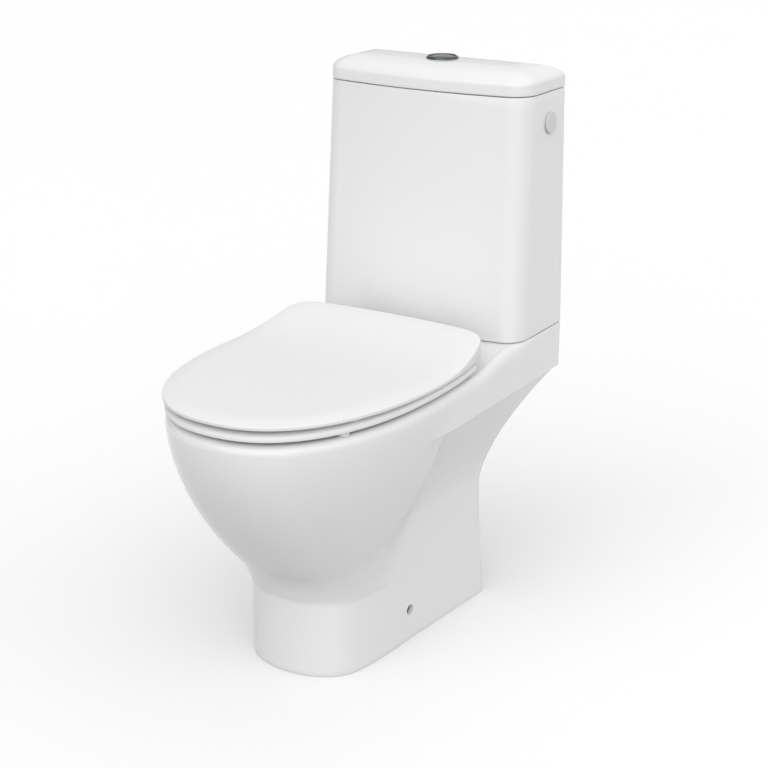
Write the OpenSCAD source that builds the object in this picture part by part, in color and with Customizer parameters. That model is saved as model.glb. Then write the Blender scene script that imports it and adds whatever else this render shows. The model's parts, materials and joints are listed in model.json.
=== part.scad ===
// Close coupled toilet: china pan and cistern, dual flush button, soft-close seat.
// Millimetres. +Z is up, the front of the seat points to -Y, +X is on the right from the front.
// Shapes are drawn from the wall plane (y = 0) and moved so that the origin is on the floor,
// in the middle of the footprint.

/* [Overall] */
// Distance from the wall to the front of the seat
total_depth = 656; // [650:1:664]
// Height of the china rim above the floor
rim_z = 406; // [404:1:410]
// Height of the deck that carries the cistern
deck_z = 420; // [419:1:424]

/* [Pan] */
// Width of the rim and of the deck behind it
rim_width = 354; // [350:1:355]
// Width of the foot at its front curve
foot_front_width = 200; // [190:1:206]
// Width of the foot at its rear edge
foot_rear_width = 235; // [228:1:240]
// Gap between the wall and the rear edge of the foot
foot_rear_gap = 124; // [118:1:130]
// Thickness of the fired china
china = 12; // [10:0.5:13]
// Outside radius of the waste outlet
outlet_r = 51; // [49:0.5:52]
// Height of the centre of the waste outlet
outlet_z = 180; // [176:1:184]

/* [Cistern] */
// Width of the cistern where it stands on the deck
tank_base_width = 353; // [346:1:354]
// Width of the cistern at its lid
tank_top_width = 340; // [332:1:344]
// Depth of the cistern at the deck
tank_base_depth = 159; // [155:1:162]
// Depth of the cistern at its lid
tank_top_depth = 139; // [134:1:142]
// Height of the line where the lid meets the cistern
tank_top_z = 778; // [770:1:784]
// Radius of the two front corners
tank_corner_r = 38; // [32:1:42]
// How far the front face swells out between its corners
tank_bow = 11; // [6:1:13]

/* [Flush button] */
// Outside radius of the chrome bezel
bezel_r = 24; // [23.5:0.5:26]

/* [Seat] */
// Width of the seat and its lid
seat_width = 356.4; // [354:0.2:358]
// Distance between the two seat hinges
hinge_spacing = 155; // [150:1:160]
// Height of the hinge axis
hinge_z = 434; // [433:0.5:435]
// Distance from the wall to the hinge axis
hinge_gap = 228; // [227:0.5:229]

/* [Hidden] */

$fn = 48;
curve_n = 2.26;        // exponent of the rounded outlines: 2 is an ellipse, more is squarer
half_rim = rim_width / 2;
hub_y = -330;          // every pan section is drawn round this point
slab_z = rim_z - 54;   // underside of the deck's side faces
deck_ledge = 4;        // how far those side faces stand out over the foot's flare
foot_top_z = 115;      // the bowl starts to swell out of the foot here
rim_centre_y = -362;
rim_tip_y = 2 - total_depth;
hinge_y = -hinge_gap;
hinge_x = hinge_spacing / 2;

function mix(a, b, t) = a + (b - a) * t;
function clamp(t) = min(1, max(0, t));
function smooth(t) = let (u = clamp(t)) u * u * (3 - 2 * u);
function power(b, e) = b <= 0 ? 0 : pow(b, e);

// Moves a shape from the wall plane to the middle of the footprint.
module placed() translate([0, total_depth / 2, 0]) children();

// Two copies, mirrored left and right.
module pair() for (side = [0, 1]) mirror([side, 0, 0]) children();

// A closed skin through rings that all have the same number of points.
module loft(rings) {
    n = len(rings[0]);
    last = len(rings) - 1;
    walls = [for (k = [0 : last - 1], i = [0 : n - 1], half = [0, 1])
        let (j = (i + 1) % n, a = k * n + i, b = k * n + j, c = a + n, d = b + n)
        half == 0 ? [a, c, b] : [b, c, d]];
    polyhedron(
        points = [for (ring = rings, p = ring) p],
        faces = concat(walls, [[for (i = [0 : n - 1]) i]],
            [[for (i = [n - 1 : -1 : 0]) last * n + i]]),
        convexity = 8);
}

// A rounded outline: half width w, centre line y, length to the front and to the back.
function egg(w, y, front, back, z, n = 40) = [for (i = [0 : n - 1])
    let (a = 360 * i / n, s = sin(a), c = cos(a), e = 2 / curve_n)
    [w * sign(c) * power(abs(c), e), y + (s > 0 ? back : front) * sign(s) * power(abs(s), e), z]];

// ---- pan -------------------------------------------------------------------------------

function swell(z) = clamp((z - foot_top_z) / (rim_z - 6 - foot_top_z));
function bowl_half(z) = mix(78, half_rim + 1, 1 - pow(1 - swell(z), 1.5));
function bowl_centre(z) = rim_centre_y - 0.276 * (rim_z - 6 - max(z, foot_top_z));
function bowl_tip(z) = let (t = swell(z), u = t * t / (t + 0.04))
    mix(-481, rim_tip_y, 1 - pow(1 - u, 1.95));
function bowl_back(z) = mix(90, 140, smooth((z - 180) / 70));
function flare(z) = power(clamp((z - 195) / (slab_z - 195)), 1.7);
function skirt_rear(z) = -foot_rear_gap - 14 * clamp(z / 160) + (foot_rear_gap + 14) * flare(z);
function skirt_half(y, z) = mix(mix(foot_front_width, foot_rear_width,
    clamp((y + 345) / (345 - foot_rear_gap))) / 2, half_rim - deck_ledge, flare(z));

// Each of these is below zero inside its shape.
function in_bowl(x, y, z) = let (c = bowl_centre(z))
    pow(x / bowl_half(z), curve_n)
    + pow(abs(y - c) / (y < c ? c - bowl_tip(z) : bowl_back(z)), curve_n) - 1;
function in_skirt(x, y, z) = y > skirt_rear(z) ? 1
    : pow(x / skirt_half(y, z), y > -345 ? 40 : curve_n)
    + (y < -345 ? pow((-345 - y) / 147, curve_n) : 0) - 1;
function in_deck(x, y, z) = z < slab_z ? 1
    : max(x - half_rim + deck_ledge * (1 - smooth((y + 380) / 60)), y, rim_centre_y - y);
function inside_pan(x, y, z) = min(in_bowl(x, y, z), in_skirt(x, y, z), in_deck(x, y, z)) < 0;

// Distance from the hub to the skin in one direction, by halving.
function reach(a, z, lo = 5, hi = 420, k = 18) = k == 0 ? lo
    : let (r = (lo + hi) / 2, x = abs(r * cos(a)), y = hub_y + r * sin(a))
    inside_pan(x, y, z) ? reach(a, z, r, hi, k - 1) : reach(a, z, lo, r, k - 1);

// Angle of the rear corner at one height, so that the corner stays sharp.
function corner_angle(z) = let (y = z < slab_z ? skirt_rear(z) : 0)
    atan2(y - hub_y, z < slab_z ? skirt_half(y, z) : half_rim);
function pan_angles(z, front = 17, rear = 4) = let (c = corner_angle(z)) concat(
    [for (i = [0 : front - 1]) mix(-90, c - 0.05, i / (front - 1))],
    [for (i = [0 : rear - 1]) mix(c + 0.05, 90, i / (rear - 1))]);
function pan_ring(z, inset) = let (
    half = pan_angles(z),
    full = concat(half, [for (i = [len(half) - 2 : -1 : 1]) 180 - half[i]]))
    [for (a = full) let (r = reach(a, min(z, rim_z)) - inset) [r * cos(a), hub_y + r * sin(a), z]];

edge_r = 10;
function edge_inset(z) = z < rim_z - edge_r ? 0
    : edge_r - sqrt(max(0, edge_r * edge_r - pow(z - rim_z + edge_r, 2)));

module pan_outside() {
    loft([for (z = [0, foot_top_z, 130, 150, 170, 190, 210, 230, 250, 270, 290, 310, 330, slab_z - 8,
        slab_z - 0.1, slab_z, rim_z - edge_r, rim_z - 5, rim_z - 2, rim_z]) pan_ring(z, edge_inset(z))]);
    // Raised part of the deck under the cistern
    rotate([90, 0, 90]) linear_extrude(2 * half_rim - 6, center = true)
        polygon([[-205, rim_z - 12], [-205, rim_z], [-186, (rim_z + deck_z) / 2], [-168, deck_z],
            [0, deck_z], [0, rim_z - 12]]);
}

// Spaces under the bowl and the deck: one under the foot, and one each side of the web that
// holds the trap, open to the floor and at the back
web_half = 46;
boss_half = 60;
module side_space(z, height, front, outer) translate([0, 0, z]) linear_extrude(height)
    polygon([[web_half, front], [outer - 14, front], [outer, -140], [outer, 5], [web_half, 5]]);
module pan_hollow() {
    translate([0, 0, -1]) linear_extrude(63) {
        polygon([for (p = pan_ring(10, china)) if (p[1] < -200) [p[0], p[1]]]);
        polygon([[-90, -300], [90, -300], [104, -120], [-104, -120]]);
    }
    pair() {
        side_space(-1, 141, -298, 104);
        side_space(139, 97, -266, 104);
        side_space(234, 52, -256, 112);
        side_space(285, 50, -250, 128);
        translate([boss_half, -250, 334]) cube([half_rim - 22 - boss_half, 238, rim_z - 14 - 334]);
    }
}

sump_z = 96;
function basin_ring(z) = let (
    t = clamp((z - sump_z) / (rim_z - sump_z)), q = 1 - pow(1 - t, 2.3))
    egg(mix(34, 138, q), mix(-372, -398, q), mix(34, 220, q), mix(34, 130, q), z, 36);
module basin() loft([for (z = [sump_z, 106, 122, 145, 175, 210, 250, 290, 330, 370, rim_z + 2])
    basin_ring(z)]);

// A round passage through points in the centre plane.
module passage(path, r, sides = 16) loft([for (i = [0 : len(path) - 1])
    let (a = path[max(0, i - 1)], b = path[min(len(path) - 1, i + 1)],
        d = (b - a) / norm(b - a), p = path[i])
    [for (k = [0 : sides - 1]) let (t = 360 * k / sides)
        [-r * cos(t), p[0] - d[1] * r * sin(t), p[1] + d[0] * r * sin(t)]]]);
module trap() passage([[-372, 140], [-350, 118], [-322, 110], [-292, 118], [-268, 145],
    [-252, 180], [-234, 215], [-208, 234], [-182, 226], [-164, 204], [-146, 186],
    [-128, outlet_z]], 37);
module flush_duct() passage([[-78, rim_z - 10], [-79, 378], [-86, 358], [-106, 344], [-140, 339],
    [-200, 338], [-284, 338]], 26);

bolt_x = 72;
bolt_y = -80;
flush_y = -78;
hole_y = -321;
hole_z = 49;
module toilet_pan() placed() color("white") difference() {
    union() {
        difference() {
            pan_outside();
            pan_hollow();
        }
        translate([0, -60, outlet_z]) rotate([90, 0, 0]) cylinder(h = 90, r = outlet_r);
        translate([0, -112, outlet_z]) rotate([90, 0, 0]) cylinder(h = 40, r = outlet_r + 9);
    }
    basin();
    trap();
    flush_duct();
    translate([0, -59, outlet_z]) rotate([90, 0, 0]) cylinder(h = 75, r = outlet_r - 8);
    translate([0, flush_y, deck_z - 26]) cylinder(h = 27, r = 50);
    translate([0, flush_y, 372]) cylinder(h = 40, r = 28);
    pair() translate([bolt_x, bolt_y, 350]) cylinder(h = 80, r = 6.5);
    pair() translate([hinge_x, hinge_y, 380]) cylinder(h = 40, r = 7);
    translate([-120, hole_y, hole_z]) rotate([0, 90, 0]) cylinder(h = 240, r = 8);
    translate([fill_x, fill_y, 350]) cylinder(h = 80, r = 21);
}

// ---- cistern ---------------------------------------------------------------------------

tank_z = deck_z + 1.5;    // thin joint between the cistern and the deck
lid_z = tank_top_z + 1.5;
floor_z = tank_z + 12;    // inside of the cistern's floor

// Outline of the cistern: square at the wall, two rounded front corners, a bowed front.
// It runs anticlockwise seen from above, from the left of the wall side to the right.
function tank_outline(w, d, r, bow, z, back = 0) = let (h = w / 2, cx = h - r, cy = r + bow - d)
    [for (p = concat(
        [[h, -back]],
        [for (a = [0 : 15 : 90]) [cx + r * cos(a), cy - r * sin(a)]],
        [for (i = [1 : 7]) let (x = cx * (1 - i / 4)) [x, -d + bow * pow(x / cx, 2)]],
        [for (a = [90 : -15 : 0]) [-cx - r * cos(a), cy - r * sin(a)]],
        [[-h, -back]])) [-p[0], p[1], z]];
function tank_ring(z, inset = 0) = let (t = (z - deck_z) / (tank_top_z - deck_z))
    tank_outline(mix(tank_base_width, tank_top_width, t) - 2 * inset,
        mix(tank_base_depth, tank_top_depth, t) - inset, max(3, tank_corner_r - inset), tank_bow,
        z, inset);

flush_hole_r = 32;
fill_x = -112;
fill_y = -60;
cap_y = -50;
cap_z = 734;
cap_r = 16.2;
module cistern_tank() placed() color("white") difference() {
    loft([tank_ring(tank_z, 4), tank_ring(tank_z + 2, 1), tank_ring(tank_z + 5), tank_ring(tank_top_z)]);
    loft([tank_ring(floor_z, 14), tank_ring(floor_z + 8, 10), tank_ring(tank_top_z + 1, 10)]);
    translate([0, flush_y, tank_z - 1]) cylinder(h = 20, r = flush_hole_r);
    translate([fill_x, fill_y, tank_z - 1]) cylinder(h = 20, r = 11);
    pair() translate([bolt_x, bolt_y, tank_z - 1]) cylinder(h = 20, r = 6.5);
    translate([150, cap_y, cap_z]) rotate([0, 90, 0]) cylinder(h = 30, r = 11);
}

button_y = -66;
lid_side_z = lid_z + 17;
lid_top_z = lid_side_z + 14;
lid_crown = 62;           // distance from the edge to the highest part of the lid
function lid_dome_z(inset) = lid_side_z - 2
    + 20.5 * pow(1 - pow(1 - inset / lid_crown, 2.6), 0.625);
function lid_ring(z, inset) = tank_outline(tank_top_width + 0.8 - 2 * inset,
    tank_top_depth + 0.8 - inset, max(3, tank_corner_r + 1 - inset), tank_bow, z, inset);
module cistern_lid() placed() color("white") difference() {
    union() {
        loft(concat(
            [lid_ring(lid_z, 1.5), lid_ring(lid_z + 1.5, 0.3), lid_ring(lid_side_z - 2, 0)],
            [for (inset = [1, 4, 9, 16, 26, 40, lid_crown]) lid_ring(lid_dome_z(inset), inset)]));
        loft([lid_ring(lid_z - 8, 14), lid_ring(lid_z + 2, 13)]);
    }
    loft([lid_ring(lid_z - 9, 22), lid_ring(lid_side_z, 22), lid_ring(lid_top_z - 6, 34)]);
    translate([0, button_y, lid_z - 10]) cylinder(h = 60, r = 21.5);
}

// ---- flush button ----------------------------------------------------------------------

bezel_z = lid_top_z + 4.6;
button_r = 18.4;
module at_button(z = 0) translate([0, button_y, z]) children();
module button_bezel() placed() at_button(bezel_z) color("silver") rotate_extrude()
    polygon([[19.2, 0], [bezel_r, 0], [bezel_r, 1.2], [bezel_r - 1, 2.6], [bezel_r - 2.6, 3.6],
        [20, 3.6], [19.2, 2.8]]);
module button_sleeve() placed() at_button() color("lightgrey") difference() {
    translate([0, 0, lid_z - 4]) cylinder(h = bezel_z - lid_z + 4, r = 21);
    translate([0, 0, lid_z]) cylinder(h = bezel_z - lid_z + 1, r = 19.2);
    for (x = [rod_x, -rod_x]) translate([x, rod_y - button_y, lid_z - 5]) cylinder(h = 6, r = rod_r + 0.8);
}
module button_ring_nut() placed() at_button(lid_top_z - 12.2) color("dimgrey") difference() {
    union() {
        cylinder(h = 6, r = 30);
        for (a = [0 : 60 : 300]) rotate(a) translate([29, -4, 0]) cube([4, 8, 6]);
    }
    translate([0, 0, -1]) cylinder(h = 8, r = 21.02);
}

rod_x = 14;
rod_r = 2.2;
rod_y = -72;
split_r = 23;
split_x = -17;
module button_disc() {
    cylinder(h = 7.2, r = button_r);
    translate([0, 0, 7.2]) cylinder(h = 1.2, r1 = button_r, r2 = button_r - 1.4);
}
module split_column(r) translate([split_x, 0, -1]) cylinder(h = 14, r = r);
module full_flush_button() placed() at_button(bezel_z - 4.2) color("silver") difference() {
    button_disc();
    split_column(split_r + 0.4);
}
module half_flush_button() placed() at_button(bezel_z - 4.2) color("silver") intersection() {
    button_disc();
    split_column(split_r - 0.1);
}

// ---- flush valve -----------------------------------------------------------------------

pivot_x = 4;
pivot_z = 660;
lever_arm = 25;
module at_valve(z = 0) translate([0, flush_y, z]) children();
module push_rod(x, low) placed() translate([x, rod_y, low]) color("whitesmoke")
    cylinder(h = bezel_z - 4.2 - low, r = rod_r);
module full_push_rod() push_rod(rod_x, pivot_z + 3.2);
module half_push_rod() push_rod(-rod_x, pivot_z + 30);

module flush_valve_cage() placed() at_valve() color("gainsboro") {
    difference() {
        union() {
            translate([0, 0, 397]) cylinder(h = floor_z + 3 - 397, r = 30);
            translate([0, 0, floor_z + 3]) cylinder(h = 5, r = 43);
            translate([0, 0, floor_z + 8]) cylinder(h = 5, r = 31);
        }
        translate([0, 0, 396]) cylinder(h = 80, r = 26);
    }
    for (a = [45 : 90 : 315]) rotate(a) translate([36, -4, floor_z + 7]) cube([5, 8, 120]);
    difference() {
        translate([0, 0, floor_z + 126]) cylinder(h = 8, r = 42);
        translate([0, 0, floor_z + 125]) cylinder(h = 10, r = 13.8);
    }
    for (y = [15, -19]) translate([-4, y, floor_z + 130]) difference() {
        cube([16, 4, pivot_z + 8 - floor_z - 130]);
        translate([pivot_x + 4, -1, pivot_z - floor_z - 130]) rotate([-90, 0, 0]) cylinder(h = 6, r = 2.02);
    }
}
seat_z = floor_z + 13.1;
module flush_seal() placed() at_valve(seat_z) color("dimgrey") difference() {
    cylinder(h = 4, r = 33);
    translate([0, 0, -1]) cylinder(h = 6, r = 11.1);
}
module overflow_tube() placed() at_valve() color("aliceblue") {
    difference() {
        union() {
            translate([0, 0, seat_z + 4]) cylinder(h = 628 - seat_z - 4, r = 13);
            translate([0, 0, seat_z + 4]) cylinder(h = 4, r = 30);
        }
        translate([0, 0, seat_z]) cylinder(h = 200, r = 11);
    }
    translate([-34, -5, 622]) cube([22.2, 10, 5]);
    translate([-34, -5, 622]) cube([4, 10, pivot_z + 8 - 622]);
    translate([-34, -5, pivot_z + 2.6]) cube([19, 10, 5.4]);
}
module flush_rocker() placed() at_valve() color("steelblue") difference() {
    union() {
        translate([pivot_x - lever_arm, -5, pivot_z - 2]) cube([lever_arm + 16, 14, 4]);
        translate([pivot_x, -6, pivot_z]) rotate([-90, 0, 0]) cylinder(h = 17, r = 4);
    }
    translate([pivot_x, -7, pivot_z]) rotate([-90, 0, 0]) cylinder(h = 20, r = 2.08);
}
module flush_rocker_pin() placed() at_valve() color("silver")
    translate([pivot_x, -19, pivot_z]) rotate([-90, 0, 0]) cylinder(h = 38, r = 2);
module washer(h, r, hole) difference() {
    cylinder(h = h, r = r);
    translate([0, 0, -1]) cylinder(h = h + 2, r = hole);
}
module flush_valve_washer() placed() at_valve(floor_z) color("dimgrey") washer(3, 41, 30.2);
module lobed_nut(h, r, hole, lobes) difference() {
    union() {
        cylinder(h = h, r = r);
        for (k = [0 : lobes - 1]) rotate(360 * k / lobes) translate([r - 2, -4, 0]) cube([5, 8, h]);
    }
    translate([0, 0, -1]) cylinder(h = h + 2, r = hole);
}
module flush_valve_back_nut() placed() at_valve(tank_z - 11) color("gainsboro")
    lobed_nut(11, 35, 30.02, 6);
module coupling_gasket() placed() at_valve(deck_z - 25.8) color("black") difference() {
    cylinder(h = 27, r = 49.5);
    translate([0, 0, -1]) cylinder(h = 30, r = 31);
    translate([0, 0, 15]) cylinder(h = 13, r = 39);
}

// ---- fixings between cistern and pan ---------------------------------------------------

module at_bolts(z) pair() translate([bolt_x, bolt_y, z]) children();
module coupling_bolts() placed() at_bolts(374) color("silver") {
    cylinder(h = floor_z + 4 - 374, r = 4);
    translate([0, 0, floor_z + 4 - 374]) cylinder(h = 5, r = 9);
}
module coupling_bolt_washers() placed() at_bolts(floor_z) color("dimgrey") washer(4, 12, 4.02);
module wing_nut(hole) difference() {
    union() {
        cylinder(h = 8, r = 8);
        for (a = [0, 180]) rotate(a) translate([5, -1.5, -4]) cube([12, 3, 10]);
    }
    translate([0, 0, -5]) cylinder(h = 20, r = hole);
}
module coupling_wing_nuts() placed() at_bolts(rim_z - 22.2) color("white") rotate(90) wing_nut(4.02);

module side_hole_cap() placed() translate([0, cap_y, cap_z]) rotate([0, 90, 0]) color("whitesmoke") {
    translate([0, 0, tank_top_width / 2 + 1.1]) cylinder(h = 2.4, r = cap_r);
    translate([0, 0, tank_top_width / 2 + 3.5]) cylinder(h = 1.4, r1 = cap_r, r2 = cap_r - 3);
    translate([0, 0, tank_top_width / 2 - 26]) cylinder(h = 28, r = 10.4);
}
module side_hole_cap_nut() placed() translate([tank_top_width / 2 - 20, cap_y, cap_z])
    rotate([0, 90, 0]) color("whitesmoke") lobed_nut(8, 16, 10.42, 6);

// ---- fill valve ------------------------------------------------------------------------

inlet_r = 10.3;
float_z = 602;
lever_pivot = [-12, 0, 728];
module at_fill(z = 0) translate([fill_x, fill_y, z]) children();
module fill_valve_body() placed() at_fill() color("gainsboro") difference() {
    union() {
        translate([0, 0, 344]) cylinder(h = 52, r = inlet_r);
        translate([0, 0, 395]) cylinder(h = floor_z + 3 - 395, r = inlet_r - 0.3);
        translate([0, 0, floor_z + 3]) cylinder(h = 5, r = 17);
        translate([0, 0, floor_z + 8]) cylinder(h = 690 - floor_z, r = 9);
        translate([0, 0, 698]) cylinder(h = 20, r = 16);
        for (y = [-9, 5]) translate([-18, y, 716]) cube([12, 4, 18]);
    }
    translate([0, 0, 343]) cylinder(h = 300, r = 5);
    translate([-12, -10, 728]) rotate([-90, 0, 0]) cylinder(h = 20, r = 2.02);
}
module fill_valve_float() placed() at_fill(float_z) color("royalblue") {
    difference() {
        cylinder(h = 62, r = 26);
        translate([0, 0, -1]) cylinder(h = 64, r = 10);
        translate([0, 0, -1]) cylinder(h = 56, r = 23.5);
    }
    difference() {
        cylinder(h = 58, r = 12);
        translate([0, 0, -1]) cylinder(h = 62, r = 10);
    }
    translate([23, 0, 61]) cylinder(h = 724.4 - 61 - float_z, r = 2);
}
module float_lever() placed() at_fill() color("gainsboro") translate(lever_pivot) difference() {
    union() {
        translate([0, -4, -3]) cube([38, 8, 6]);
        translate([0, -4.4, 0]) rotate([-90, 0, 0]) cylinder(h = 8.8, r = 5);
    }
    translate([0, -6, 0]) rotate([-90, 0, 0]) cylinder(h = 12, r = 2.08);
}
module float_lever_pin() placed() at_fill() color("silver") translate(lever_pivot)
    translate([0, -9, 0]) rotate([-90, 0, 0]) cylinder(h = 18, r = 2);
module fill_valve_washer() placed() at_fill(floor_z) color("dimgrey") washer(3, 17, inlet_r - 0.25);
module fill_valve_back_nut() placed() at_fill(tank_z - 8) color("gainsboro")
    lobed_nut(8, 15, inlet_r - 0.28, 6);

// ---- seat ------------------------------------------------------------------------------

seat_hub = [0, -400];
seat_half = seat_width / 2;
seat_rear_half = seat_half - 10.7;
seat_rear_y = -208;
seat_wide_y = -362.6;
seat_rear_r = 29;
seat_bow = 7;
// One half of the outline, from the front tip round to the middle of the back edge
seat_side_end = seat_rear_y - seat_bow - seat_rear_r;
function seat_half_outline() = concat(
    [for (a = [-90 : 7.5 : 0]) let (e = 2 / 2.29)
        [seat_half * power(cos(a), e), seat_wide_y - (seat_wide_y + total_depth) * power(-sin(a), e)]],
    [for (s = [0.25 : 0.25 : 1])
        [seat_half - 10.7 * pow(s, 2.28), mix(seat_wide_y, seat_side_end, s)]],
    [for (a = [22.5 : 22.5 : 90])
        [seat_rear_half - seat_rear_r * (1 - cos(a)), seat_side_end + seat_rear_r * sin(a)]],
    [for (x = [100, 60, 20, 0]) [x, seat_rear_y - seat_bow * pow(x / seat_rear_half, 2)]]);
function mirrored(half) = concat(half, [for (i = [len(half) - 2 : -1 : 1]) [-half[i][0], half[i][1]]]);
function seat_ring_points(inset) = [for (p = mirrored(seat_half_outline()))
    let (v = p - seat_hub, d = norm(v)) seat_hub + v * max(0.02, 1 - inset / d)];

function rear_share(y) = clamp((y - seat_wide_y) / (seat_rear_y - seat_wide_y));
function lid_top(y) = 433 + 0.0145 * (seat_rear_y - y) + 29.6 * pow(rear_share(y), 2);
function lid_edge(y) = 423.4 + 0.0145 * (seat_rear_y - y) + 4 * rear_share(y);
function lid_level(inset, share, drop = 0) = [for (p = seat_ring_points(inset))
    [p[0], p[1], mix(lid_edge(p[1]), lid_top(p[1]), share) - drop]];
knuckle_r = 9;
module knuckle(x, width) translate([x, hinge_y, hinge_z]) rotate([0, 90, 0])
    cylinder(h = width, r = knuckle_r);
module hinge_bore(r) translate([-130, hinge_y, hinge_z]) rotate([0, 90, 0]) cylinder(h = 260, r = r);
module seat_lid() placed() color("white") difference() {
    union() {
        difference() {
            loft([lid_level(390, 1, 5.5), lid_level(120, 1, 5.5), lid_level(40, 1, 5.5),
                lid_level(9, 1, 6), lid_level(7, 0), lid_level(1.2, 0), lid_level(0, 0.2),
                lid_level(0, 0.7), lid_level(1.2, 0.9), lid_level(4, 1), lid_level(40, 1),
                lid_level(120, 1), lid_level(390, 1)]);
            pair() translate([hinge_x - 27, -224, 410]) cube([66, 20, 37]);
        }
        pair() {
            knuckle(hinge_x + 24.2, 11);
            translate([hinge_x + 24.2, hinge_y - knuckle_r, hinge_z]) cube([11, 16, 17]);
        }
    }
    hinge_bore(4.08);
}
module seat_ring() placed() color("white") difference() {
    union() {
        translate([0, 0, 413]) linear_extrude(12) difference() {
            polygon(seat_ring_points(2.5));
            translate([-200, -246]) square([400, 60]);
            polygon([for (p = egg(114, -404, 190, 118, 0, 48)) [p[0], p[1]]]);
        }
        pair() for (x = [hinge_x - 23.8, hinge_x + 9.4]) {
            knuckle(x, 14.4);
            translate([x, -252, 414]) cube([14.4, 26, 15]);
        }
    }
    hinge_bore(4.08);
}
module lid_buffers() placed() color("gainsboro") pair()
    for (p = [[142, -532], [128, -330]]) translate([p[0], p[1], 425.3])
        cylinder(h = lid_top(p[1]) - 5.2 - 425.3, r = 7);
module ring_buffers() placed() color("gainsboro") pair()
    for (p = [[134, -543], [146, -330]]) translate([p[0], p[1], rim_z + 0.1])
        cylinder(h = 413.2 - rim_z - 0.1, r = 8);

// ---- seat hinge and its fixings --------------------------------------------------------

module hinge_pillars() placed() color("gainsboro") pair() difference() {
    union() {
        translate([hinge_x, hinge_y, rim_z]) cylinder(h = 5, r = 13);
        translate([hinge_x, hinge_y, rim_z]) cylinder(h = hinge_z - rim_z - 4, r = 8.6);
        knuckle(hinge_x - 8.8, 17.6);
    }
    translate([0, hinge_y, hinge_z]) rotate([0, 90, 0]) cylinder(h = 130, r = 6.5);
}
module hinge_pins() placed() color("silver") pair()
    translate([hinge_x - 25, hinge_y, hinge_z]) rotate([0, 90, 0]) cylinder(h = 62, r = 4);
module soft_close_dampers() placed() color("dimgrey") pair()
    translate([hinge_x - 8.8, hinge_y, hinge_z]) rotate([0, 90, 0]) washer(17.6, 6.45, 4.02);
module at_seat_fixing(z) pair() translate([hinge_x, hinge_y, z]) children();
module seat_fixing_studs() placed() at_seat_fixing(352) color("silver")
    cylinder(h = rim_z - 352, r = 3.9);
module seat_fixing_washers() placed() at_seat_fixing(rim_z - 20) color("dimgrey") difference() {
    cylinder(h = 6, r1 = 8, r2 = 11);
    translate([0, 0, -1]) cylinder(h = 8, r = 3.95);
}
module seat_fixing_nuts() placed() at_seat_fixing(rim_z - 29) color("white") wing_nut(3.95);

// ---- floor fixing ----------------------------------------------------------------------

bracket_x = 80;
floor_hole_x = 60;
module floor_brackets() placed() color("whitesmoke") pair() translate([0, hole_y, 0]) difference() {
    union() {
        translate([bracket_x - 32, -20, 0]) cube([38, 40, 5]);
        translate([bracket_x, -20, 0]) cube([6, 40, 60]);
        translate([bracket_x - 10, -2, 5]) cube([11, 4, 20]);
    }
    translate([floor_hole_x, 0, -1]) cylinder(h = 8, r = 4);
    translate([bracket_x - 1, 0, hole_z]) rotate([0, 90, 0]) cylinder(h = 10, r = 3);
}
module side_fixing_screws() placed() color("silver") pair() translate([bracket_x - 4, hole_y, hole_z])
    rotate([0, 90, 0]) {
        cylinder(h = 16, r = 2.98);
        translate([0, 0, 15.5]) difference() {
            cylinder(h = 5, r = 7);
            translate([-4, -0.8, 3.4]) cube([8, 1.6, 3]);
        }
    }

toilet_pan();
cistern_tank();
cistern_lid();
button_bezel();
full_flush_button();
half_flush_button();
button_sleeve();
button_ring_nut();
full_push_rod();
half_push_rod();
flush_valve_cage();
overflow_tube();
flush_seal();
flush_rocker();
flush_rocker_pin();
flush_valve_washer();
flush_valve_back_nut();
coupling_gasket();
coupling_bolts();
coupling_bolt_washers();
coupling_wing_nuts();
side_hole_cap();
side_hole_cap_nut();
fill_valve_body();
fill_valve_float();
float_lever();
float_lever_pin();
fill_valve_washer();
fill_valve_back_nut();
seat_lid();
seat_ring();
lid_buffers();
ring_buffers();
hinge_pillars();
hinge_pins();
soft_close_dampers();
seat_fixing_studs();
seat_fixing_washers();
seat_fixing_nuts();
floor_brackets();
side_fixing_screws();
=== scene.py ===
"""A white close coupled toilet.

A china pan and cistern, a chrome dual flush button and a soft-close seat and lid.
"""
import json
import math

import bmesh
import bpy
import numpy as np
from mathutils import Matrix, Vector

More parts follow.
